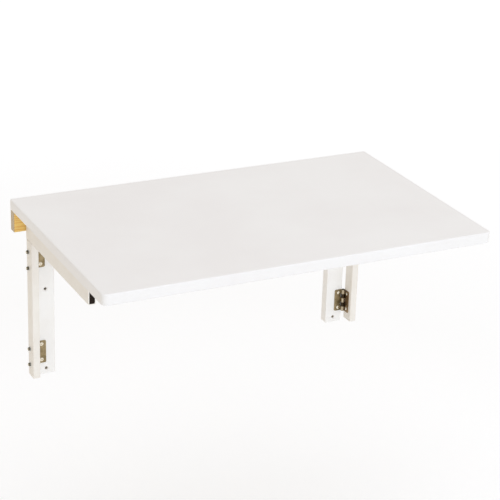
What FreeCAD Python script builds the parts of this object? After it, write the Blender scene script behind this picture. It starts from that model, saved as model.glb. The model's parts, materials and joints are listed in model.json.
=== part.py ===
import FreeCAD, Part
import math
import os

# Wall mounted drop leaf table, millimetres.
# The origin is the centre of the wall rail's back face: +X runs along the rail to the right
# hand of someone who faces the wall, +Y points into the wall and +Z up.
# The brackets stand open at right angles to the wall and the tabletop lies level on them.

V = FreeCAD.Vector

# Tabletop
top_width = 800.0
top_depth = 500.0
top_thickness = 22.0
top_corner_radius = 12.0      # the two front corners
top_rear_corner_radius = 4.0
top_edge_round = 3.0          # edges of the upper face
underside_edge_round = 2.0    # edges of the lower face
top_wall_clearance = 2.0      # lets the rear edge turn past the wall

# Wall frame: one rail and two posts of the same board
frame_thickness = 20.0
frame_edge_round = 1.5
rail_height = 42.0
rail_end_inset = 2.5          # from the tabletop's end to the rail's end
lift_gap = 2.0                # under the tabletop, so that it can be lifted off the brackets
post_width = 38.0
post_length = 322.0
post_foot_radius = 3.0
post_edge_setback = 1.0       # from the bracket's hinge axis back to the post's outer edge

# Swing brackets: rectangular steel tube, the arm on top of the upright
bracket_inset = 26.0          # from the tabletop's end to the bracket's outer face
bracket_back_clearance = 2.5  # between the bracket and the frame's front face
tube_width = 15.0
tube_wall = 2.0
tube_corner = 2.0
tube_inner_corner = 0.5
upright_depth = 30.0
upright_foot_rise = 10.0      # post's foot to the upright's foot
arm_height = 56.0
arm_top_gap = 4.0             # between the arm and the tabletop, filled by the glides
arm_tip_gap = 15.0            # from the folded arm's tip to the middle of the table
weld_leg = 3.0
plug_length = 14.0
plug_recess = 0.3
plug_clearance = 0.1

# Glides on top of each arm
glide_width = 10.0
glide_length = 50.0
glide_clearance = 0.2
glide_round = 0.9
glide_reaches = (165.0, 280.0)  # hinge axis to glide middle, clear of the tabletop's hinges

# Hinges between the posts and the brackets
bracket_hinge_height = 50.0
bracket_hinge_leaf = 19.0     # hinge axis to leaf edge
bracket_knuckle_radius = 4.0
bracket_pin_radius = 2.4
upper_hinge_drop = 57.0       # rail's bottom edge to the upper hinge's middle
lower_hinge_rise = 52.0       # post's foot to the lower hinge's middle

# Hinges between the rail and the tabletop
top_hinge_height = 50.0
top_hinge_leaf = 19.0
top_knuckle_radius = 3.0
top_pin_radius = 1.4
top_hinge_spacing = 250.0

# Common to both hinges
hinge_plate = 1.5
hinge_corner = 3.0
hinge_screw_share = 0.5       # screw line, as a share of the way from axis to leaf edge
hinge_screw_margin = 7.5      # leaf end to screw middle
knuckle_count = 5
knuckle_gap = 0.4             # between neighbouring knuckles
knuckle_clearance = 0.3       # from the knuckles to the faces that the leaves lie on
pin_running_clearance = 0.05
pin_head_height = 1.0
pin_head_overlap = 0.8

# Screws, bolts, dowels
wood_screw_radius = 1.75
wood_screw_length = 15.0
hinge_head_radius = 3.9       # raised countersunk heads of the hinge screws and bolts
hinge_head_rise = 1.0
bolt_radius = 2.0
bolt_stickout = 1.5
nut_flats = 7.0
nut_height = 3.2
washer_radius = 4.5
washer_thickness = 0.8
shank_clearance = 0.1
recess_width = 0.9            # cross recess: one arm's width
recess_reach_share = 0.6      # half the recess, as a share of the head's radius
recess_depth_share = 0.5      # its depth, as a share of the head's radius
screw_tip_share = 0.2         # radius at the very tip, as a share of the shank's
dowel_radius = 4.0
dowel_length = 40.0
dowel_spacing = 24.0
dowel_end_gap = 0.5
dowel_chamfer = 0.8
frame_screw_radius = 2.5
frame_screw_length = 72.0
frame_screw_head_radius = 5.0
frame_screw_head_depth = 2.5

# Open holes for the wall screws
wall_hole_radius = 2.75
wall_countersink = 2.0
rail_hole_spacing = 200.0
rail_hole_count = 4
post_hole_rise = 12.0         # post's foot to the lower hole
post_hole_spacing = 178.0

# Places that follow from the sizes
half_width = top_width / 2
rail_end = half_width - rail_end_inset
front_y = -frame_thickness
rail_top = rail_height / 2
rail_bottom = -rail_height / 2
underside = rail_top + lift_gap
top_rear = -top_wall_clearance
post_foot = rail_bottom - post_length
upright_foot = post_foot + upright_foot_rise
outer_x = half_width - bracket_inset
inner_x = outer_x - tube_width
swing_x = inner_x - bracket_knuckle_radius - knuckle_clearance
swing_y = front_y - bracket_knuckle_radius - knuckle_clearance
post_outer = swing_x - post_edge_setback
post_inner = post_outer - post_width
post_middle = (post_outer + post_inner) / 2
bracket_rear = front_y - bracket_back_clearance
arm_top = underside - arm_top_gap
arm_bottom = arm_top - arm_height
arm_front = swing_y - (swing_x - arm_tip_gap)
upright_front = bracket_rear - upright_depth
drop_y = front_y - top_knuckle_radius - knuckle_clearance
drop_z = underside - top_knuckle_radius - knuckle_clearance
upper_hinge_z = rail_bottom - upper_hinge_drop
lower_hinge_z = post_foot + lower_hinge_rise
bolt_length = hinge_plate + tube_width + washer_thickness + nut_height + bolt_stickout


def block(x0, x1, y0, y1, z0, z1):
    return Part.makeBox(x1 - x0, y1 - y0, z1 - z0, V(x0, y0, z0))


def placed(shape, point, direction):
    """A copy of a shape made along +Z, moved to a point and turned to a direction."""
    copy = shape.copy()
    copy.Placement = FreeCAD.Placement(point, FreeCAD.Rotation(V(0, 0, 1), direction))
    return copy


def edges_along(shape, axis):
    """Straight edges of a shape that run along one axis."""
    found = []
    for edge in shape.Edges:
        first, last = edge.Vertexes[0].Point, edge.Vertexes[-1].Point
        run = last - first
        if run.Length > 1e-6 and abs(run.dot(axis)) > 0.9999 * run.Length:
            found.append(edge)
    return found


def mirrored(shape):
    return shape.mirror(V(0, 0, 0), V(1, 0, 0))


# Screws and bolts point along +Z, with the rim of the head at zero

def cross_recess(head_radius, top):
    reach = recess_reach_share * head_radius
    floor = top + recess_depth_share * head_radius
    along = block(-reach, reach, -recess_width / 2, recess_width / 2, top, floor)
    across = block(-recess_width / 2, recess_width / 2, -reach, reach, top, floor)
    return along.fuse(across)


def dome():
    """The raised top of a hinge screw's or bolt's head: a cap of a sphere below zero."""
    ball = (hinge_head_radius ** 2 + hinge_head_rise ** 2) / (2 * hinge_head_rise)
    reach = hinge_head_radius
    cap = block(-reach, reach, -reach, reach, -hinge_head_rise, 0)
    return cap.common(Part.makeSphere(ball, V(0, 0, ball - hinge_head_rise)))


def pointed_shank(radius, low, length):
    tip = 2 * radius
    shank = Part.makeCylinder(radius, length - low - tip, V(0, 0, low))
    return shank.fuse(Part.makeCone(radius, screw_tip_share * radius, tip, V(0, 0, length - tip)))


def hinge_screw():
    head = dome().fuse(Part.makeCone(hinge_head_radius, wood_screw_radius, hinge_plate))
    screw = head.fuse(pointed_shank(wood_screw_radius, hinge_plate, wood_screw_length))
    return screw.removeSplitter().cut(cross_recess(hinge_head_radius, -hinge_head_rise))


def frame_screw():
    head = Part.makeCone(frame_screw_head_radius, frame_screw_radius, frame_screw_head_depth)
    screw = head.fuse(pointed_shank(frame_screw_radius, frame_screw_head_depth, frame_screw_length))
    return screw.removeSplitter().cut(cross_recess(frame_screw_head_radius, 0))


def bolt():
    head = dome().fuse(Part.makeCone(hinge_head_radius, bolt_radius, hinge_plate))
    shank = Part.makeCylinder(bolt_radius, bolt_length - hinge_plate, V(0, 0, hinge_plate))
    return head.fuse(shank).removeSplitter().cut(cross_recess(hinge_head_radius, -hinge_head_rise))


def screw_hole(radius, length, head_radius, head_depth):
    """The hole that a countersunk screw leaves, wider than the screw by the clearance."""
    bore = Part.makeCylinder(radius + shank_clearance, length + shank_clearance)
    return bore.fuse(Part.makeCone(head_radius + shank_clearance, radius + shank_clearance, head_depth))


def nut():
    """Hexagon nut with its corners chamfered, standing on zero."""
    corner = nut_flats / math.sqrt(3)
    angles = [math.pi / 3 * index for index in range(7)]
    points = [V(corner * math.cos(angle), corner * math.sin(angle), 0) for angle in angles]
    body = Part.Face(Part.makePolygon(points)).extrude(V(0, 0, nut_height))
    trim = corner - nut_flats / 2
    round_bar = Part.makeCylinder(corner, nut_height - trim)
    rim = Part.makeCone(corner, corner - trim, trim, V(0, 0, nut_height - trim))
    bore = Part.makeCylinder(bolt_radius + shank_clearance, nut_height)
    return body.common(round_bar.fuse(rim)).cut(bore)


def washer():
    ring = Part.makeCylinder(washer_radius, washer_thickness)
    return ring.cut(Part.makeCylinder(bolt_radius + shank_clearance, washer_thickness))


# Butt hinge, open at a right angle, with its pin on the Z axis and its middle at zero.
# The fixed leaf runs to -X and its back lies behind the knuckles, on the +Y side.
# The moving leaf runs to -Y and its back lies beside the knuckles, on the +X side.

def knuckle_span(index, height):
    pitch = height / knuckle_count
    low = -height / 2 + index * pitch
    low_gap = knuckle_gap / 2 if index > 0 else 0
    high_gap = knuckle_gap / 2 if index < knuckle_count - 1 else 0
    return low + low_gap, low + pitch - high_gap


def hinge_leaf(height, leaf, radius, pin_radius, indices):
    """The leaf that runs to -X, with the knuckles that the indices name."""
    reach = radius + knuckle_gap
    back = radius + knuckle_clearance
    plate = block(-leaf, -reach, back - hinge_plate, back, -height / 2, height / 2)
    outer = [e for e in edges_along(plate, V(0, 1, 0)) if e.Vertexes[0].X < -leaf + 1e-6]
    body = plate.makeFillet(hinge_corner, outer)
    bore = Part.makeCylinder(pin_radius + pin_running_clearance, height, V(0, 0, -height / 2))
    for index in indices:
        low, high = knuckle_span(index, height)
        tongue = block(-reach, 0, back - hinge_plate, back, low, high)
        barrel = Part.makeCylinder(radius, high - low, V(0, 0, low))
        body = body.fuse(tongue).fuse(barrel)
    return body.cut(bore).removeSplitter()


def leaf_screw_points(height, leaf, radius):
    """Where the fixed leaf's screws start, on the side of the leaf that shows."""
    x = -leaf * hinge_screw_share
    y = radius + knuckle_clearance - hinge_plate
    z = height / 2 - hinge_screw_margin
    return [V(x, y, -z), V(x, y, z)]


def swapped(shape):
    """The fixed leaf's place turned into the moving leaf's: mirrored in the plane x = y."""
    return shape.mirror(V(0, 0, 0), V(1, -1, 0))


def hinge_parts(height, leaf, radius, pin_radius, moving_radius):
    """Fixed leaf, moving leaf and pin; moving_radius is the moving leaf's screw radius."""
    fixed = hinge_leaf(height, leaf, radius, pin_radius, range(0, knuckle_count, 2))
    moving = hinge_leaf(height, leaf, radius, pin_radius, range(1, knuckle_count, 2))
    fixed_hole = screw_hole(wood_screw_radius, hinge_plate, hinge_head_radius, hinge_plate)
    moving_hole = screw_hole(moving_radius, hinge_plate, hinge_head_radius, hinge_plate)
    for point in leaf_screw_points(height, leaf, radius):
        fixed = fixed.cut(placed(fixed_hole, point, V(0, 1, 0)))
        moving = moving.cut(placed(moving_hole, point, V(0, 1, 0)))
    pin = Part.makeCylinder(pin_radius, height, V(0, 0, -height / 2))
    button = Part.makeCylinder(pin_radius + pin_head_overlap, pin_head_height)
    button = button.makeFillet(pin_head_height / 2, [button.Edges[0]])
    pin = pin.fuse(placed(button, V(0, 0, height / 2), V(0, 0, 1)))
    pin = pin.fuse(placed(button, V(0, 0, -height / 2), V(0, 0, -1))).removeSplitter()
    return fixed, swapped(moving), pin


def bracket_hinge():
    return hinge_parts(bracket_hinge_height, bracket_hinge_leaf, bracket_knuckle_radius,
                       bracket_pin_radius, bolt_radius)


def top_hinge():
    """Turned so that the pin runs along X, the fixed leaf hangs down and the other lies level."""
    turn = FreeCAD.Placement(V(0, 0, 0), FreeCAD.Rotation(V(0, 1, 0), -90))
    parts = hinge_parts(top_hinge_height, top_hinge_leaf, top_knuckle_radius, top_pin_radius,
                        wood_screw_radius)
    for part in parts:
        part.Placement = turn.multiply(part.Placement)
    return parts


# Places of the hinges, screws and holes

def bracket_hinge_places():
    return {"upper": V(swing_x, swing_y, upper_hinge_z), "lower": V(swing_x, swing_y, lower_hinge_z)}


def top_hinge_places():
    return {"left": V(-top_hinge_spacing, drop_y, drop_z), "middle": V(0, drop_y, drop_z),
            "right": V(top_hinge_spacing, drop_y, drop_z)}


def post_screw_points():
    local = leaf_screw_points(bracket_hinge_height, bracket_hinge_leaf, bracket_knuckle_radius)
    return [place + point for place in bracket_hinge_places().values() for point in local]


def bracket_bolt_points():
    local = leaf_screw_points(bracket_hinge_height, bracket_hinge_leaf, bracket_knuckle_radius)
    turned = [V(point.y, point.x, point.z) for point in local]
    return [place + point for place in bracket_hinge_places().values() for point in turned]


def rail_screw_points():
    local = leaf_screw_points(top_hinge_height, top_hinge_leaf, top_knuckle_radius)
    turned = [V(point.z, point.y, point.x) for point in local]
    return [place + point for place in top_hinge_places().values() for point in turned]


def top_screw_points():
    local = leaf_screw_points(top_hinge_height, top_hinge_leaf, top_knuckle_radius)
    turned = [V(point.z, point.x, point.y) for point in local]
    return [place + point for place in top_hinge_places().values() for point in turned]


def hinge_screws(points, direction):
    return Part.makeCompound([placed(hinge_screw(), point, direction) for point in points])


def drill(board, points, direction):
    """The pilot holes of the hinge screws in a board."""
    for point in points:
        pilot = Part.makeCylinder(wood_screw_radius + shank_clearance, wood_screw_length + shank_clearance)
        board = board.cut(placed(pilot, point, direction))
    return board


def wall_hole(x, z):
    """Screw hole from the frame's front face to the wall, countersunk in front."""
    bore = Part.makeCylinder(wall_hole_radius, frame_thickness)
    sink = Part.makeCone(wall_hole_radius + wall_countersink, wall_hole_radius, wall_countersink)
    return placed(bore.fuse(sink), V(x, front_y, z), V(0, 1, 0))


def dowel_points():
    """Middles of the right post's two dowels, on the joint between rail and post."""
    reach = dowel_spacing / 2
    return [V(x, front_y / 2, rail_bottom) for x in (post_middle - reach, post_middle + reach)]


def dowel(length, radius, middle):
    return Part.makeCylinder(radius, length, middle - V(0, 0, length / 2))


def drill_dowels(board, side):
    for middle in dowel_points():
        hole = dowel(dowel_length + 2 * dowel_end_gap, dowel_radius + shank_clearance, middle)
        board = board.cut(hole if side > 0 else mirrored(hole))
    return board


def frame_screw_hole(side):
    hole = screw_hole(frame_screw_radius, frame_screw_length, frame_screw_head_radius,
                      frame_screw_head_depth)
    return placed(hole, V(side * post_middle, front_y / 2, rail_top), V(0, 0, -1))


# Wall frame

def wall_rail():
    rail = block(-rail_end, rail_end, front_y, 0, rail_bottom, rail_top)
    front = [e for e in rail.Edges if e.BoundBox.YMax < front_y + 1e-6]
    rail = rail.makeFillet(frame_edge_round, front)
    first = -rail_hole_spacing * (rail_hole_count - 1) / 2
    for index in range(rail_hole_count):
        rail = rail.cut(wall_hole(first + index * rail_hole_spacing, 0))
    for side in (-1, 1):
        rail = drill_dowels(rail, side)
        rail = rail.cut(frame_screw_hole(side))
    return drill(rail, rail_screw_points(), V(0, 1, 0))


def wall_post():
    """The right post; the left one is its mirror image."""
    post = block(post_inner, post_outer, front_y, 0, post_foot, rail_bottom)
    foot = [e for e in edges_along(post, V(0, 1, 0)) if e.Vertexes[0].Z < post_foot + 1e-6]
    post = post.makeFillet(post_foot_radius, foot)
    uprights = [e for e in edges_along(post, V(0, 0, 1)) if e.Vertexes[0].Y < front_y + 1e-6]
    post = post.makeFillet(frame_edge_round, uprights)
    for z in (post_foot + post_hole_rise, post_foot + post_hole_rise + post_hole_spacing):
        post = post.cut(wall_hole(post_middle, z))
    post = drill_dowels(post, 1)
    post = post.cut(frame_screw_hole(1))
    return drill(post, post_screw_points(), V(0, 1, 0))


def post_dowels():
    chamfered = []
    for middle in dowel_points():
        pin = dowel(dowel_length, dowel_radius, middle)
        chamfered.append(pin.makeChamfer(dowel_chamfer, [pin.Edges[0], pin.Edges[2]]))
    return Part.makeCompound(chamfered)


def frame_screws():
    tops = [V(side * post_middle, front_y / 2, rail_top) for side in (-1, 1)]
    return Part.makeCompound([placed(frame_screw(), top, V(0, 0, -1)) for top in tops])


# Tabletop

def tabletop():
    top_front = top_rear - top_depth
    board = block(-half_width, half_width, top_front, top_rear, underside, underside + top_thickness)
    front = [e for e in edges_along(board, V(0, 0, 1)) if e.Vertexes[0].Y < top_rear - 1e-6]
    board = board.makeFillet(top_corner_radius, front)
    rear = [e for e in edges_along(board, V(0, 0, 1)) if e.Vertexes[0].Y > top_rear - 1e-6]
    board = board.makeFillet(top_rear_corner_radius, rear)
    upper = [e for e in board.Edges if e.BoundBox.ZMin > underside + top_thickness - 1e-6]
    board = board.makeFillet(top_edge_round, upper)
    lower = [e for e in board.Edges if e.BoundBox.ZMax < underside + 1e-6]
    board = board.makeFillet(underside_edge_round, lower)
    return drill(board, top_screw_points(), V(0, 0, 1))


# Right swing bracket; the left one is its mirror image

def bolt_holes(tube):
    for point in bracket_bolt_points():
        hole = Part.makeCylinder(bolt_radius + shank_clearance, bolt_length)
        tube = tube.cut(placed(hole, point, V(1, 0, 0)))
    return tube


def square_tube(x0, x1, y0, y1, z0, z1, axis):
    """Rectangular tube along one axis, open at both ends."""
    outer = block(x0, x1, y0, y1, z0, z1)
    outer = outer.makeFillet(tube_corner, edges_along(outer, axis))
    return outer.cut(tube_space(x0, x1, y0, y1, z0, z1, axis, tube_wall))


def tube_space(x0, x1, y0, y1, z0, z1, axis, inset):
    """The rounded bar that fills a tube's inside, inset from its outer faces."""
    dx, dy, dz = [0 if along else inset for along in (axis.x, axis.y, axis.z)]
    inside = block(x0 + dx, x1 - dx, y0 + dy, y1 - dy, z0 + dz, z1 - dz)
    return inside.makeFillet(tube_inner_corner, edges_along(inside, axis))


def arm_tube():
    return square_tube(inner_x, outer_x, arm_front, bracket_rear, arm_bottom, arm_top, V(0, 1, 0))


def upright_tube():
    tube = square_tube(inner_x, outer_x, upright_front, bracket_rear, upright_foot, arm_bottom, V(0, 0, 1))
    return bolt_holes(tube)


def arm_plug(y0, y1):
    return tube_space(inner_x, outer_x, y0, y1, arm_bottom, arm_top, V(0, 1, 0), tube_wall + plug_clearance)


def arm_front_plug():
    return arm_plug(arm_front + plug_recess, arm_front + plug_recess + plug_length)


def arm_rear_plug():
    return arm_plug(bracket_rear - plug_recess - plug_length, bracket_rear - plug_recess)


def upright_plug():
    low = upright_foot + plug_recess
    return tube_space(inner_x, outer_x, upright_front, bracket_rear, low, low + plug_length, V(0, 0, 1),
                      tube_wall + plug_clearance)


def corner_weld():
    """Hollow fillet weld in the corner between the upright's front and the arm's bottom."""
    y, z = upright_front, arm_bottom
    blank = block(inner_x + tube_corner, outer_x - tube_corner, y - weld_leg, y, z - weld_leg, z)
    hollow = Part.makeCylinder(weld_leg, tube_width, V(inner_x, y - weld_leg, z - weld_leg), V(1, 0, 0))
    return blank.cut(hollow)


def arm_glides():
    middle = (inner_x + outer_x) / 2
    solids = []
    for reach in glide_reaches:
        y = swing_y - reach
        pad = block(middle - glide_width / 2, middle + glide_width / 2, y - glide_length / 2,
                    y + glide_length / 2, arm_top, underside - glide_clearance)
        level = [e for e in pad.Edges if e.BoundBox.ZMin > arm_top + 1e-6]
        solids.append(pad.makeFillet(glide_round, level))
    return Part.makeCompound(solids)


def bracket_bolts():
    return Part.makeCompound([placed(bolt(), point, V(1, 0, 0)) for point in bracket_bolt_points()])


def bracket_washers():
    return Part.makeCompound([placed(washer(), V(outer_x, point.y, point.z), V(1, 0, 0))
                              for point in bracket_bolt_points()])


def bracket_nuts():
    return Part.makeCompound([placed(nut(), V(outer_x + washer_thickness, point.y, point.z), V(1, 0, 0))
                              for point in bracket_bolt_points()])


# Assembly

def side_nodes():
    """Every piece of the right side, by the rest of its name."""
    nodes = {
        "wall_post": wall_post(),
        "post_dowels": post_dowels(),
        "post_hinge_screws": hinge_screws(post_screw_points(), V(0, 1, 0)),
        "bracket_upright": upright_tube(),
        "bracket_arm": arm_tube(),
        "bracket_weld": corner_weld(),
        "arm_front_plug": arm_front_plug(),
        "arm_rear_plug": arm_rear_plug(),
        "upright_plug": upright_plug(),
        "arm_glides": arm_glides(),
        "bracket_bolts": bracket_bolts(),
        "bracket_washers": bracket_washers(),
        "bracket_nuts": bracket_nuts(),
    }
    for level, place in bracket_hinge_places().items():
        fixed, moving, pin = bracket_hinge()
        nodes[level + "_hinge_post_leaf"] = fixed.translated(place)
        nodes[level + "_hinge_bracket_leaf"] = moving.translated(place)
        nodes[level + "_hinge_pin"] = pin.translated(place)
    return nodes


def all_nodes():
    nodes = {
        "wall_rail": wall_rail(),
        "frame_screws": frame_screws(),
        "tabletop": tabletop(),
        "rail_hinge_screws": hinge_screws(rail_screw_points(), V(0, 1, 0)),
        "tabletop_hinge_screws": hinge_screws(top_screw_points(), V(0, 0, 1)),
    }
    for name, shape in side_nodes().items():
        nodes["right_" + name] = shape
        nodes["left_" + name] = mirrored(shape)
    for name, place in top_hinge_places().items():
        fixed, moving, pin = top_hinge()
        nodes[name + "_drop_hinge_rail_leaf"] = fixed.translated(place)
        nodes[name + "_drop_hinge_top_leaf"] = moving.translated(place)
        nodes[name + "_drop_hinge_pin"] = pin.translated(place)
    return nodes


os.makedirs("parts", exist_ok=True)
for node, solid in all_nodes().items():
    solid.exportStep("parts/" + node + ".step")
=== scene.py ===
import json
import math

import bpy
import numpy as np
from mathutils import Matrix, Vector


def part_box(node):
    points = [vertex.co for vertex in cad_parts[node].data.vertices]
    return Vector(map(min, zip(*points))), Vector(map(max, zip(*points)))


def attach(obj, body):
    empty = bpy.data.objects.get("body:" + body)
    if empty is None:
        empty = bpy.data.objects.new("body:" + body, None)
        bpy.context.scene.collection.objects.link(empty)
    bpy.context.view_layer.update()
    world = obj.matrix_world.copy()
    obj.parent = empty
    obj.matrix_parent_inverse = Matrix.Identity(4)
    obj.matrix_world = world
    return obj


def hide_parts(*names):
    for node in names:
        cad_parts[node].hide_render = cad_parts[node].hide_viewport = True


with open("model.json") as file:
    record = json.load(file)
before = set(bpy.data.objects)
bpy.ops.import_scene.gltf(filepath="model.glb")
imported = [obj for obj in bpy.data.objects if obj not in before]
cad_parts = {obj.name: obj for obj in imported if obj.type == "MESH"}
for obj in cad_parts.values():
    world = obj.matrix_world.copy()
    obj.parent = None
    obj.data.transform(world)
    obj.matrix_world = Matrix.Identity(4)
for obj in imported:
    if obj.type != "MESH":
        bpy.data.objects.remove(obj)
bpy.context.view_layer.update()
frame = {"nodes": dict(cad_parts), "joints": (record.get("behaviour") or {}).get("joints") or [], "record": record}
scene = bpy.context.scene
nodes = frame["nodes"]
sides = ("left", "right")


def hexColour(text):
    # an sRGB hex value turned to the linear colour that the sockets take
    values = [int(text[i:i + 2], 16) / 255 for i in (1, 3, 5)]
    linear = [v / 12.92 if v <= 0.04045 else ((v + 0.055) / 1.055) ** 2.4 for v in values]
    return (*linear, 1.0)


def perMetre(millimetres):
    # texture scale that makes a feature that many millimetres wide
    return 1000.0 / millimetres


def firstOutput(source):
    # a node stands for its first output, and a socket for itself
    return getattr(source, "outputs", [source])[0]


def addNode(tree, kind, settings=None, links=None):
    # adds one node: a setting names a property or an input, a link names an input and gives what feeds it
    node = tree.nodes.new(kind)
    for key, value in (settings or {}).items():
        if key == "stops":
            ramp = node.color_ramp.elements
            while len(ramp) < len(value):
                ramp.new(0.5)
            for element, (position, colour) in zip(ramp, value):
                element.position, element.color = position, hexColour(colour)
        elif isinstance(key, str) and hasattr(node, key):
            setattr(node, key, value)
        else:
            node.inputs[key].default_value = value
    for key, source in (links or {}).items():
        tree.links.new(firstOutput(source), node.inputs[key])
    return node


def newMaterial(name):
    # an empty material and its node tree
    material = bpy.data.materials.new(name)
    material.use_nodes = True
    material.node_tree.nodes.clear()
    return material, material.node_tree


def newFinish(name, settings):
    # a material with its shader joined to the output, and the object coordinates that its patterns follow
    material, tree = newMaterial(name)
    shader = addNode(tree, "ShaderNodeBsdfPrincipled", settings)
    addNode(tree, "ShaderNodeOutputMaterial", links={"Surface": shader})
    return material, tree, shader, addNode(tree, "ShaderNodeTexCoord").outputs["Object"]


def joinFinish(tree, shader, look, colour, texture, relief):
    # colour and relief go straight in; the texture spreads the roughness over the look's smooth and dull ends
    smooth, dull = look["roughness"]
    sheen = addNode(tree, "ShaderNodeMapRange", {"To Min": smooth, "To Max": dull}, {"Value": texture})
    for name, source in (("Base Color", colour), ("Roughness", sheen), ("Normal", relief)):
        tree.links.new(firstOutput(source), shader.inputs[name])


def cloudTones(tree, place, look, settings=None):
    # a colour that wanders softly between the look's tones, in clouds of the look's size
    cloud = addNode(tree, "ShaderNodeTexNoise", {"Scale": perMetre(look["cloudMm"]), "Detail": 3.0,
                                                 **(settings or {})}, {"Vector": place})
    return addNode(tree, "ShaderNodeValToRGB", {"stops": look["tones"]}, {"Fac": cloud})


# depths in metres over which the finishes' bumps work
bumpDepth = {"lacquer": 0.0002, "wood": 0.00015, "powder": 0.00012, "plating": 0.00005, "plastic": 0.0001}
edgeLean = {"flat": 0.995, "corner": 0.86}  # cosines of the lean at which an edge begins and is full


def edgeMask(tree, radius):
    # 1 along outer edges, 0 on open faces: how far a normal rounded over the radius leans from the true one
    rounded = addNode(tree, "ShaderNodeBevel", {"samples": 6, "Radius": radius})
    facing = addNode(tree, "ShaderNodeNewGeometry").outputs["Normal"]
    leaning = addNode(tree, "ShaderNodeVectorMath", {"operation": "DOT_PRODUCT"}, {0: rounded, 1: facing})
    return addNode(tree, "ShaderNodeMapRange", {"From Min": edgeLean["flat"], "From Max": edgeLean["corner"]},
                   {"Value": leaning.outputs["Value"]})


def nearestLine(tree, place, axis, spots):
    # distance to the nearest of some straight lines, each through its spot and along the axis; X is measured
    # from the middle of the table to either side, so the spots of the right side serve the left one too
    parts = addNode(tree, "ShaderNodeSeparateXYZ", links={0: place}).outputs
    across = addNode(tree, "ShaderNodeMath", {"operation": "ABSOLUTE"}, {0: parts["X"]})
    kept = {"X": across, "Y": parts["Y"], "Z": parts["Z"]}
    kept.pop(axis)
    flat = addNode(tree, "ShaderNodeCombineXYZ", links=kept)
    away = [addNode(tree, "ShaderNodeVectorMath", {"operation": "DISTANCE", 1: spot}, {0: flat})
            for spot in spots]
    nearest = away[0].outputs["Value"]
    for other in away[1:]:
        nearest = addNode(tree, "ShaderNodeMath", {"operation": "MINIMUM"},
                          {0: nearest, 1: other.outputs["Value"]})
    return nearest


def dress(material, *names):
    # gives every slot of the named nodes the finish
    for name in names:
        for slot in nodes[name].material_slots:
            slot.material = material


def bothSides(*names):
    # each name for the left side and for the right
    return [side + "_" + name for side in sides for name in names]


def postBores():
    # middles and radius of the right post's two wall holes, as the frame states them
    mount = next(m for m in frame["record"]["mounts"] if m["name"] == "right_post_wall_holes")
    x, _, z = mount["pos_m"]
    half = mount["dims"]["spacing_y_mm"] / 2000
    return {"spots": [(x, 0.0, z - half), (x, 0.0, z + half)], "radius": mount["dims"]["hole_r_mm"] / 1000}


# bare fibrous board, whole up to the first reach outside a bore's wall and gone at the second, in metres
bareBoard = {"tones": [(0.3, "#BDB4A5"), (0.7, "#D8D0C2")], "fibreMm": 0.4, "reach": (0.00015, 0.00045)}


def bareBores(tree, place, lacquer, bores):
    # the inside of the post's screw holes, where no lacquer reached
    nearest = nearestLine(tree, place, "Y", bores["spots"])
    whole, gone = (bores["radius"] + reach for reach in bareBoard["reach"])
    inside = addNode(tree, "ShaderNodeMapRange", {"From Min": gone, "From Max": whole}, {"Value": nearest})
    fibre = addNode(tree, "ShaderNodeTexNoise", {"Scale": perMetre(bareBoard["fibreMm"]), "Detail": 2.0},
                    {"Vector": place})
    bare = addNode(tree, "ShaderNodeValToRGB", {"stops": bareBoard["tones"]}, {"Fac": fibre})
    mixed = addNode(tree, "ShaderNodeMix", {"data_type": "RGBA"}, {0: inside, 6: lacquer, 7: bare})
    return mixed.outputs[2]


# satin white lacquer sprayed on board: a broad soft sheen over a faint ripple, nearly even in colour
def sprayedLacquer(name, look):
    material, tree, shader, place = newFinish(name, {"IOR": 1.5})
    colour = cloudTones(tree, place, look)
    if look["bores"]:
        colour = bareBores(tree, place, colour, look["bores"])
    patches = addNode(tree, "ShaderNodeTexNoise", {"Scale": perMetre(look["sheenMm"]), "Detail": 4.0},
                      {"Vector": place})
    ripple = addNode(tree, "ShaderNodeTexNoise", {"Scale": perMetre(look["rippleMm"]), "Detail": 1.5},
                     {"Vector": place})
    bump = addNode(tree, "ShaderNodeBump", {"Strength": look["ripple"], "Distance": bumpDepth["lacquer"]},
                   {"Height": ripple})
    joinFinish(tree, shader, look, colour, patches, bump)
    return material


tabletopLacquer = {"tones": [(0.35, "#EEECEB"), (0.65, "#F1F0EF")], "cloudMm": 180, "sheenMm": 35,
                   "roughness": (0.33, 0.43), "rippleMm": 3.0, "ripple": 0.10, "bores": None}
postLacquer = {"tones": [(0.35, "#F7F5F2"), (0.65, "#FAF9F7")], "cloudMm": 60, "sheenMm": 15,
               "roughness": (0.36, 0.46), "rippleMm": 2.0, "ripple": 0.15, "bores": postBores()}
dress(sprayedLacquer("satinWhiteLacquerTop", tabletopLacquer), "tabletop")
dress(sprayedLacquer("satinWhiteLacquerPosts", postLacquer), *bothSides("wall_post"))
print("white lacquer done")


# what both woods share: a stretch below 1 draws a pattern out along the grain, a span says where a pattern
# begins to show and where it is full, and a weight says how strong it is then
woodGrain = {"wanderStretch": 0.04, "wanderBy": 0.012, "fibreStretch": 0.015,
             "streakTones": [(0.3, "#E6DDCD"), (0.62, "#FFFFFF")], "streakWeight": 0.75,
             "poreStretch": 0.09, "poreMm": 0.45, "poreSpan": (0.66, 0.74), "poreWeight": 0.45,
             "speckSpan": (0.56, 0.7), "speckWeight": 0.5, "endSpan": (0.5, 0.9), "grooves": 0.25}


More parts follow.
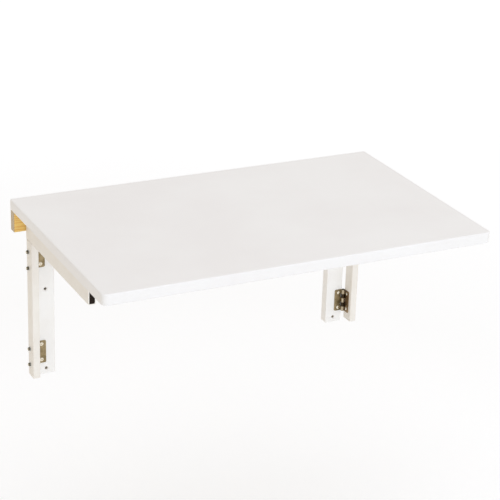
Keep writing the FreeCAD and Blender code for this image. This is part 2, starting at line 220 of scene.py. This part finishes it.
def yearPlace(tree, along, look):
    # how far through its year the wood is: the distance from the pith, bent a little by slow noise, over the
    # width of a ring, without its whole years
    drawnOut = addNode(tree, "ShaderNodeMapping", {"Scale": (woodGrain["wanderStretch"], 1, 1)},
                       {"Vector": along})
    wander = addNode(tree, "ShaderNodeTexNoise", {"Scale": perMetre(look["wanderMm"]), "Detail": 3.0},
                     {"Vector": drawnOut})
    flat = addNode(tree, "ShaderNodeVectorMath", {"operation": "MULTIPLY", 1: (0.0, 1.0, 1.0)}, {0: along})
    fromPith = addNode(tree, "ShaderNodeVectorMath", {"operation": "LENGTH"}, {0: flat})
    bent = addNode(tree, "ShaderNodeMath", {"operation": "MULTIPLY_ADD", 1: woodGrain["wanderBy"]},
                   {0: wander, 2: fromPith.outputs["Value"]})
    years = addNode(tree, "ShaderNodeMath", {"operation": "MULTIPLY", 1: perMetre(look["ringMm"])}, {0: bent})
    return addNode(tree, "ShaderNodeMath", {"operation": "FRACT"}, {0: years})


def longGrain(tree, along, year, look):
    # the rings as long lines, with fibre streaks over them and then short dark pores
    rings = addNode(tree, "ShaderNodeValToRGB", {"stops": look["rings"]}, {"Fac": year})
    strands = addNode(tree, "ShaderNodeMapping", {"Scale": (woodGrain["fibreStretch"], 1, 1)},
                      {"Vector": along})
    fibre = addNode(tree, "ShaderNodeTexNoise", {"Scale": perMetre(look["fibreMm"]), "Detail": 4.0,
                                                 "Roughness": 0.65}, {"Vector": strands})
    streaks = addNode(tree, "ShaderNodeValToRGB", {"stops": woodGrain["streakTones"]}, {"Fac": fibre})
    streaked = addNode(tree, "ShaderNodeMix", {"data_type": "RGBA", "blend_type": "MULTIPLY",
                                               0: woodGrain["streakWeight"]}, {6: rings, 7: streaks})
    dashes = addNode(tree, "ShaderNodeMapping", {"Scale": (woodGrain["poreStretch"], 1, 1)},
                     {"Vector": along})
    dots = addNode(tree, "ShaderNodeTexNoise", {"Scale": perMetre(woodGrain["poreMm"]), "Detail": 1.0},
                   {"Vector": dashes})
    begins, full = woodGrain["poreSpan"]
    pores = addNode(tree, "ShaderNodeMapRange", {"From Min": begins, "From Max": full,
                                                 "To Max": woodGrain["poreWeight"]}, {"Value": dots})
    pored = addNode(tree, "ShaderNodeMix", {"data_type": "RGBA", 7: hexColour(look["pore"])},
                    {0: pores, 6: streaked.outputs[2]})
    return pored.outputs[2], fibre, pores


def sawnGrain(tree, place, year, look):
    # cut across, each year is a pale band that ends in a dark line, speckled with open pores
    arcs = addNode(tree, "ShaderNodeValToRGB", {"stops": look["endRings"]}, {"Fac": year})
    dots = addNode(tree, "ShaderNodeTexNoise", {"Scale": perMetre(look["fibreMm"] / 2), "Detail": 2.0},
                   {"Vector": place})
    begins, full = woodGrain["speckSpan"]
    specks = addNode(tree, "ShaderNodeMapRange", {"From Min": begins, "From Max": full,
                                                  "To Max": woodGrain["speckWeight"]}, {"Value": dots})
    sawn = addNode(tree, "ShaderNodeMix", {"data_type": "RGBA", 7: hexColour(look["endPore"])},
                   {0: specks, 6: arcs})
    return sawn.outputs[2]


def endMask(tree, look):
    # full on faces that are square to the grain
    facing = addNode(tree, "ShaderNodeNewGeometry").outputs["Normal"]
    endways = addNode(tree, "ShaderNodeVectorMath", {"operation": "DOT_PRODUCT", 1: look["grainAxis"]},
                      {0: facing})
    squareOn = addNode(tree, "ShaderNodeMath", {"operation": "ABSOLUTE"}, {0: endways.outputs["Value"]})
    begins, full = woodGrain["endSpan"]
    return addNode(tree, "ShaderNodeMapRange", {"From Min": begins, "From Max": full,
                                                "To Max": look["endShare"]}, {"Value": squareOn})


# solid wood: growth rings round a far pith give long lines on the faces and arcs on the sawn ends, with fine
# fibre streaks and short dark pores along the grain
def solidWood(name, look):
    material, tree, shader, place = newFinish(name, {"IOR": 1.5, "Coat Weight": look["coat"],
                                                     "Coat Roughness": 0.28})
    along = addNode(tree, "ShaderNodeMapping", {"Location": look["pith"], "Rotation": look["turn"]},
                    {"Vector": place})
    year = yearPlace(tree, along, look)
    pored, fibre, pores = longGrain(tree, along, year, look)
    sawn = sawnGrain(tree, place, year, look)
    onEnds = endMask(tree, look)
    colour = addNode(tree, "ShaderNodeMix", {"data_type": "RGBA"}, {0: onEnds, 6: pored, 7: sawn})
    grooves = addNode(tree, "ShaderNodeMath", {"operation": "SUBTRACT"}, {0: fibre, 1: pores})
    bump = addNode(tree, "ShaderNodeBump", {"Strength": woodGrain["grooves"], "Distance": bumpDepth["wood"]},
                   {"Height": grooves})
    joinFinish(tree, shader, look, colour.outputs[2], fibre, bump)
    return material


def yearTones(early, late, rise, fall, ripening=0.55):
    # one year: it starts in the last one's late wood, is early wood from the rise to the ripening, and has
    # darkened to late wood by the fall
    return [(0.0, late), (rise, early), (ripening, early), (fall, late)]


# pale pine rail under clear lacquer: honey gold with darker late wood, and taupe on the sawn ends
railWood = {"rings": yearTones("#FED87C", "#F2B95D", 0.08, 0.92), "pore": "#A66F38",
            "endRings": yearTones("#B09F80", "#83704F", 0.1, 0.95), "endPore": "#83704F", "endShare": 0.85,
            "grainAxis": (1.0, 0.0, 0.0), "pith": (0.0, 0.055, 0.034), "turn": (0.0, 0.0, 0.0),
            "ringMm": 3.6, "wanderMm": 22, "fibreMm": 0.9, "coat": 0.35, "roughness": (0.42, 0.55)}
# beech dowels, unfinished: paler and closer grained, standing upright
dowelWood = {"rings": yearTones("#E3C79C", "#CFA877", 0.08, 0.92), "pore": "#8F6238",
             "endRings": yearTones("#D8BC94", "#BC9A6C", 0.1, 0.95), "endPore": "#BC9A6C", "endShare": 0.7,
             "grainAxis": (0.0, 0.0, 1.0), "pith": (0.0, 0.03, 0.02), "turn": (0.0, math.pi / 2, 0.0),
             "ringMm": 1.6, "wanderMm": 8, "fibreMm": 0.6, "coat": 0.0, "roughness": (0.6, 0.75)}
dress(solidWood("clearLacqueredPine", railWood), "wall_rail")
dress(solidWood("beechDowelWood", dowelWood), *bothSides("post_dowels"))
print("wood done")


# white powder coat baked on steel tube: warm white, a fine orange peel and a slightly dry sheen
def powderCoat(name, look):
    material, tree, shader, place = newFinish(name, {"IOR": 1.5})
    body = cloudTones(tree, place, look)
    # sharp edges are a little paler: a painted highlight along them
    edge = edgeMask(tree, look["edge"])
    colour = addNode(tree, "ShaderNodeMix", {"data_type": "RGBA", 7: hexColour(look["edgeColour"])},
                     {0: edge, 6: body})
    grains = addNode(tree, "ShaderNodeTexNoise", {"Scale": perMetre(look["grainMm"]), "Detail": 2.0},
                     {"Vector": place})
    # real orange peel is about 0.6 mm across, drawn twice as coarse so that it shows
    peel = addNode(tree, "ShaderNodeTexVoronoi", {"feature": "SMOOTH_F1", "Scale": perMetre(look["peelMm"]),
                                                  "Smoothness": 0.8}, {"Vector": place})
    bump = addNode(tree, "ShaderNodeBump", {"Strength": look["peel"], "Distance": bumpDepth["powder"],
                                            "invert": True}, {"Height": peel.outputs["Distance"]})
    joinFinish(tree, shader, look, colour.outputs[2], grains, bump)
    return material


# the edge colour is the painted highlight along the tubes' sharp edges
tubeCoat = {"tones": [(0.35, "#EFEAE2"), (0.65, "#F3EFE8")], "edgeColour": "#F5F2EC", "cloudMm": 45,
            "edge": 0.0012, "grainMm": 1.0, "roughness": (0.38, 0.5), "peelMm": 1.3, "peel": 0.3}
tubeFinish = powderCoat("whitePowderCoat", tubeCoat)
dress(tubeFinish, *bothSides("bracket_upright", "bracket_arm", "bracket_weld"))
print("powder coat done")


# the weld in the corner under each arm, under the same coat: a rounded bead with the crescent ripples that
# the arc leaves; its leg, the ripples' pitch and how far its root sinks into the corner are in millimetres
weldBead = {"leg": 3.4, "crown": 0.84, "rippleMm": 1.5, "ripple": 0.05, "lag": 0.45, "sink": 0.4,
            "loops": 121, "loopPoints": 15, "endPower": 6, "endOpening": 0.0002}


def cappedGrid(name, points):
    # a closed skin over rows of points: each row is a loop, and the first and last row close on their middles
    rows, columns = points.shape[:2]
    vertices = np.concatenate([points.reshape(-1, 3), points[:1].mean(1), points[-1:].mean(1)])
    index = np.arange(rows * columns).reshape(rows, columns)
    ahead = np.roll(index, -1, axis=1)
    quads = np.stack([index[:-1], ahead[:-1], ahead[1:], index[1:]], axis=-1).reshape(-1, 4)
    firstCap = np.stack([np.full(columns, rows * columns), ahead[0], index[0]], axis=-1)
    lastCap = np.stack([np.full(columns, rows * columns + 1), index[-1], ahead[-1]], axis=-1)
    mesh = bpy.data.meshes.new(name)
    mesh.from_pydata(vertices.tolist(), [], quads.tolist() + firstCap.tolist() + lastCap.tolist())
    mesh.polygons.foreach_set("use_smooth", np.ones(len(mesh.polygons), dtype=bool))
    piece = bpy.data.objects.new(name, mesh)
    scene.collection.objects.link(piece)
    return piece


def rippledBead(name, low, high, look):
    # a quarter turn round the corner, carried along it; its radius is the leg, and crown times the leg in the
    # middle of the turn, times one plus a ripple; the ripple follows the size of a sine along the bead, which
    # lags in the middle of the turn, so that each crest is a crescent; towards both ends the radius falls as
    # the root of one minus a high power of the place along the bead, and stays just open for the cap
    along = np.linspace(-1.0, 1.0, look["loops"])[:, None]
    turn = np.linspace(0.0, math.pi / 2, look["loopPoints"])[None, :]
    middle, half = (low.x + high.x) / 2, (high.x - low.x) / 2
    crescent = np.sin(2 * turn)
    phase = along * half * 1000 / look["rippleMm"] + look["lag"] * crescent
    crown = 1 - (1 - look["crown"]) * crescent
    swell = 1 + look["ripple"] * np.abs(np.sin(math.pi * phase))
    taper = np.sqrt(np.clip(1 + look["endOpening"] - along ** look["endPower"], 0, 1))
    radius = look["leg"] / 1000 * crown * swell * taper
    y = high.y - radius * np.cos(turn)
    z = high.z - radius * np.sin(turn)
    x = np.broadcast_to(middle + along * half, y.shape)
    skin = np.stack([x, y, z], axis=-1)
    sink = look["sink"] / 1000
    root = np.stack([x[:, 0], np.full(len(x), high.y + sink), np.full(len(x), high.z + sink)], axis=-1)
    return cappedGrid(name, np.concatenate([skin, root[:, None]], axis=1))


for side in sides:
    bead = rippledBead(side + "_weld_bead", *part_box(side + "_bracket_weld"), weldBead)
    bead.data.materials.append(tubeFinish)
    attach(bead, side + "_bracket")
    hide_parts(side + "_bracket_weld")
print("weld beads done")


def bracketPin():
    # a spot on the upright pins about which the right bracket swings
    swing = next(joint for joint in frame["joints"] if joint["name"] == "right_bracket_swing")
    x, y, _ = swing["pos_m"]
    return x, y, 0.0


def barrelColour(tree, place, leafColour, look):
    # the knuckles round the brackets' pins get a fixed tone of their own that stands in for light and shade on the
    # round barrels: a painted highlight on the post leaves' knuckles and painted shade on the moving leaves'
    fromPin = nearestLine(tree, place, "Z", [bracketPin()])
    whole, gone = look["barrelReach"]
    onBarrel = addNode(tree, "ShaderNodeMapRange", {"From Min": gone, "From Max": whole}, {"Value": fromPin})
    mixed = addNode(tree, "ShaderNodeMix", {"data_type": "RGBA", 7: hexColour(look["barrel"])},
                    {0: onBarrel, 6: leafColour})
    return mixed.outputs[2]


# plated steel, rolled or turned: drawn lines, cloudy plating and a brighter line where edges are rubbed
def platedSteel(name, look):
    material, tree, shader, place = newFinish(name, {"Metallic": 1.0})
    body = cloudTones(tree, place, look, {"Detail": 5.0, "Roughness": 0.6})
    rubbed = edgeMask(tree, look["edge"])
    colour = addNode(tree, "ShaderNodeMix", {"data_type": "RGBA", 7: hexColour(look["edgeColour"])},
                     {0: rubbed, 6: body}).outputs[2]
    if "barrel" in look:
        colour = barrelColour(tree, place, colour, look)
    drawn = addNode(tree, "ShaderNodeMapping", {"Scale": look["lineStretch"]}, {"Vector": place})
    lines = addNode(tree, "ShaderNodeTexNoise", {"Scale": perMetre(look["lineMm"]), "Detail": 3.0},
                    {"Vector": drawn})
    bump = addNode(tree, "ShaderNodeBump", {"Strength": look["lines"], "Distance": bumpDepth["plating"]},
                   {"Height": lines})
    joinFinish(tree, shader, look, colour, lines, bump)
    return material


# antique bronze on pressed hinge leaves: olive brown with darker clouds and brassy edges, and a pale painted
# highlight on the knuckles round the bracket pins
postLeafBronze = {"tones": [(0.34, "#6B5E43"), (0.62, "#958669")], "edgeColour": "#C6B996", "cloudMm": 9,
                  "edge": 0.0006, "lineMm": 0.35, "lineStretch": (1.0, 1.0, 0.06), "lines": 0.35,
                  "roughness": (0.26, 0.46), "barrel": "#AA9E88", "barrelReach": (0.0042, 0.0045)}
# the moving leaves are a browner, darker copy of the same bronze, painted shade, and their knuckles round the
# bracket pins are near black with painted shade
shadedMovingLeafBronze = {"tones": [(0.34, "#6F5942"), (0.62, "#997F60")], "edgeColour": "#B39F78", "cloudMm": 7,
                    "edge": 0.0006, "lineMm": 0.35, "lineStretch": (1.0, 1.0, 0.06), "lines": 0.35,
                    "roughness": (0.28, 0.48), "barrel": "#3A3024", "barrelReach": (0.0042, 0.0045)}
# the pins are a dark bronze, kept dark so that the pin heads and the gaps between the knuckles show black: painted
# shade
pinBronze = {"tones": [(0.34, "#2B261F"), (0.62, "#4C4437")], "edgeColour": "#84765A", "cloudMm": 3,
             "edge": 0.0004, "lineMm": 0.3, "lineStretch": (1.0, 1.0, 0.2), "lines": 0.2,
             "roughness": (0.25, 0.4)}
# bright nickel on screw and bolt heads: almost a mirror, faintly warm
brightNickel = {"tones": [(0.34, "#CFC7B6"), (0.62, "#E4DED0")], "edgeColour": "#F4F0E6", "cloudMm": 2,
                "edge": 0.0003, "lineMm": 0.25, "lineStretch": (1.0, 1.0, 1.0), "lines": 0.15,
                "roughness": (0.14, 0.26)}
# clear zinc on the long screws and washers: blue grey and softly clouded
clearZinc = {"tones": [(0.34, "#9DA3A9"), (0.62, "#BEC3C8")], "edgeColour": "#DADDE0", "cloudMm": 2.5,
             "edge": 0.0003, "lineMm": 0.3, "lineStretch": (1.0, 1.0, 1.0), "lines": 0.25,
             "roughness": (0.28, 0.45)}
# the nuts are darker, oiled and slightly brown where the oxide thins
oiledOxide = {"tones": [(0.34, "#545044"), (0.62, "#7C7768")], "edgeColour": "#A29D8D", "cloudMm": 2.5,
              "edge": 0.0004, "lineMm": 0.3, "lineStretch": (0.1, 1.0, 1.0), "lines": 0.2,
              "roughness": (0.3, 0.45)}
bronze = platedSteel("antiqueBronzePlating", postLeafBronze)
shadedBronze = platedSteel("shadedBronzePlating", shadedMovingLeafBronze)
nickel = platedSteel("brightNickelPlating", brightNickel)
zinc = platedSteel("clearZincPlating", clearZinc)
pins = platedSteel("darkBronzeRod", pinBronze)
dress(bronze, *bothSides("upper_hinge_post_leaf", "lower_hinge_post_leaf"))
dress(shadedBronze, *bothSides("upper_hinge_bracket_leaf", "lower_hinge_bracket_leaf"))
dress(pins, *bothSides("upper_hinge_pin", "lower_hinge_pin"))
for where in ("left", "middle", "right"):
    dress(bronze, where + "_drop_hinge_rail_leaf")
    dress(shadedBronze, where + "_drop_hinge_top_leaf")
    dress(pins, where + "_drop_hinge_pin")
dress(nickel, "rail_hinge_screws", "tabletop_hinge_screws")
dress(nickel, *bothSides("post_hinge_screws", "bracket_bolts"))
dress(zinc, "frame_screws", *bothSides("bracket_washers"))
dress(platedSteel("oiledOxideSteel", oiledOxide), *bothSides("bracket_nuts"))
print("plated metal done")


# moulded plastic: even colour with a fine spark eroded grain from the mould
def mouldedPlastic(name, look):
    material, tree, shader, place = newFinish(name, {"IOR": look["ior"], "Specular IOR Level": look["shine"],
                                                     "Subsurface Weight": look["glow"],
                                                     "Subsurface Scale": 0.002})
    colour = cloudTones(tree, place, look)
    grain = addNode(tree, "ShaderNodeTexNoise", {"Scale": perMetre(look["grainMm"]), "Detail": 2.0},
                    {"Vector": place})
    bump = addNode(tree, "ShaderNodeBump", {"Strength": look["grain"], "Distance": bumpDepth["plastic"]},
                   {"Height": grain})
    joinFinish(tree, shader, look, colour, grain, bump)
    return material


tubePlug = {"tones": [(0.35, "#160F0A"), (0.65, "#1F1610")], "cloudMm": 6, "ior": 1.49, "shine": 0.15,
            "glow": 0.0, "grainMm": 0.5, "grain": 0.4, "roughness": (0.5, 0.7)}
glidePad = {"tones": [(0.35, "#E6E4DA"), (0.65, "#EFEEE7")], "cloudMm": 8, "ior": 1.53, "shine": 0.5,
            "glow": 0.15, "grainMm": 0.6, "grain": 0.2, "roughness": (0.35, 0.5)}
plugPlastic = mouldedPlastic("blackPolyethylene", tubePlug)
dress(plugPlastic, *bothSides("arm_front_plug", "arm_rear_plug", "upright_plug"))
dress(mouldedPlastic("naturalNylon", glidePad), *bothSides("arm_glides"))
print("plastics done")


def viewRays(tree):
    # two masks: rays from the camera, and rays from a mirror reflection or through something clear
    kinds = addNode(tree, "ShaderNodeLightPath").outputs
    mirrored = addNode(tree, "ShaderNodeMath", {"operation": "MAXIMUM"},
                       {0: kinds["Is Glossy Ray"], 1: kinds["Is Transmission Ray"]})
    return kinds["Is Camera Ray"], mirrored


# pale floor a table's height below the top: its glow brings it to plain white for the camera, little enough
# near the table to keep a faint soft shadow there, and more farther off, where less light falls; mirror
# reflections get a plain glow of their own
floorLook = {"height": -0.706, "half": 9.0, "colour": "#EDEBE7", "glowColour": "#E4EFFF",
             "glow": (0.32, 0.52), "glowReach": (1.3, 3.6), "mirrorGlow": 0.55}


def floorFinish(name, look):
    material, tree = newMaterial(name)
    place = addNode(tree, "ShaderNodeTexCoord").outputs["Object"]
    away = addNode(tree, "ShaderNodeVectorMath", {"operation": "LENGTH"}, {0: place})
    near, far = look["glowReach"]
    least, most = look["glow"]
    growing = addNode(tree, "ShaderNodeMapRange", {"From Min": near, "From Max": far, "To Min": least,
                                                   "To Max": most}, {"Value": away.outputs["Value"]})
    toCamera, toMirrors = viewRays(tree)
    strength = addNode(tree, "ShaderNodeMath", {"operation": "MULTIPLY"}, {0: toCamera, 1: growing})
    glow = addNode(tree, "ShaderNodeEmission", {"Color": hexColour(look["glowColour"])},
                   {"Strength": strength})
    mirrorStrength = addNode(tree, "ShaderNodeMath", {"operation": "MULTIPLY", 1: look["mirrorGlow"]},
                             {0: toMirrors})
    mirrorGlow = addNode(tree, "ShaderNodeEmission", links={"Strength": mirrorStrength})
    glows = addNode(tree, "ShaderNodeAddShader", links={0: glow, 1: mirrorGlow})
    paint = addNode(tree, "ShaderNodeBsdfDiffuse", {"Color": hexColour(look["colour"])})
    lit = addNode(tree, "ShaderNodeAddShader", links={0: paint, 1: glows})
    # from underneath the floor is clear, so that the object can be looked at from below
    under = addNode(tree, "ShaderNodeNewGeometry").outputs["Backfacing"]
    clear = addNode(tree, "ShaderNodeBsdfTransparent")
    either = addNode(tree, "ShaderNodeMixShader", links={0: under, 1: lit, 2: clear})
    addNode(tree, "ShaderNodeOutputMaterial", links={"Surface": either})
    return material


def levelSquare(name, half, height):
    # four corners round the Z axis, at one height, facing up
    corners = [(-half, -half, height), (half, -half, height), (half, half, height), (-half, half, height)]
    mesh = bpy.data.meshes.new(name)
    mesh.from_pydata(corners, [], [(0, 1, 2, 3)])
    square = bpy.data.objects.new(name, mesh)
    scene.collection.objects.link(square)
    return square


floor = levelSquare("paleFloor", floorLook["half"], floorLook["height"])
floor.data.materials.append(floorFinish("paleFloor", floorLook))

# soft warm daylight all round; the camera and reflections see plain white
worldLook = {"light": "#FFF9F1", "strength": 0.75, "seen": "#FFFFFF"}


def softDaylight(name, look):
    world = bpy.data.worlds.new(name)
    world.use_nodes = True
    tree = world.node_tree
    tree.nodes.clear()
    soft = addNode(tree, "ShaderNodeBackground", {"Color": hexColour(look["light"]),
                                                  "Strength": look["strength"]})
    plain = addNode(tree, "ShaderNodeBackground", {"Color": hexColour(look["seen"]), "Strength": 1.0})
    toCamera, toMirrors = viewRays(tree)
    seen = addNode(tree, "ShaderNodeMath", {"operation": "MAXIMUM"}, {0: toCamera, 1: toMirrors})
    either = addNode(tree, "ShaderNodeMixShader", links={0: seen, 1: soft, 2: plain})
    addNode(tree, "ShaderNodeOutputWorld", links={"Surface": either})
    return world


scene.world = softDaylight("softDaylight", worldLook)

# two large soft boxes: the key in front, kept out of mirror reflections so that no face glares, and a weak
# one overhead; places and sizes in metres, powers in watts
lamps = {"keyBox": {"place": (-0.2, -5.1, 0.4), "size": 3.0, "power": 103, "colour": "#DDECFF",
                    "mirrored": False},
         "overheadBox": {"place": (0.2, -0.6, 2.6), "size": 2.6, "power": 18, "colour": "#E0EBFF",
                         "mirrored": True}}
lampAim = Vector((0.0, -0.25, -0.1))  # about the middle of the table
for lampName, lamp in lamps.items():
    light = bpy.data.lights.new(lampName, "AREA")
    light.size, light.energy, light.color = lamp["size"], lamp["power"], hexColour(lamp["colour"])[:3]
    box = bpy.data.objects.new(lampName, light)
    box.location = lamp["place"]
    box.visible_glossy = lamp["mirrored"]
    box.rotation_euler = (lampAim - Vector(lamp["place"])).to_track_quat("-Z", "Y").to_euler()
    scene.collection.objects.link(box)

# a long lens, above and to the left of the front; angles in degrees, lens and sensor in millimetres
shot = {"place": (-1.4022, -3.0588, 1.2823), "azimuth": -26.66, "down": 22.67, "roll": 2.01,
        "lens": 125.0, "sensor": 36.0}
cameraData = bpy.data.cameras.new("shopView")
cameraData.lens, cameraData.sensor_width = shot["lens"], shot["sensor"]
camera = bpy.data.objects.new("shopView", cameraData)
turn = (Matrix.Rotation(math.radians(shot["azimuth"]), 4, "Z")
        @ Matrix.Rotation(math.radians(90 - shot["down"]), 4, "X")
        @ Matrix.Rotation(math.radians(shot["roll"]), 4, "Z"))
camera.matrix_world = Matrix.Translation(shot["place"]) @ turn
scene.collection.objects.link(camera)
scene.camera = camera
scene.view_settings.view_transform = "Standard"
print("floor, light and camera done")
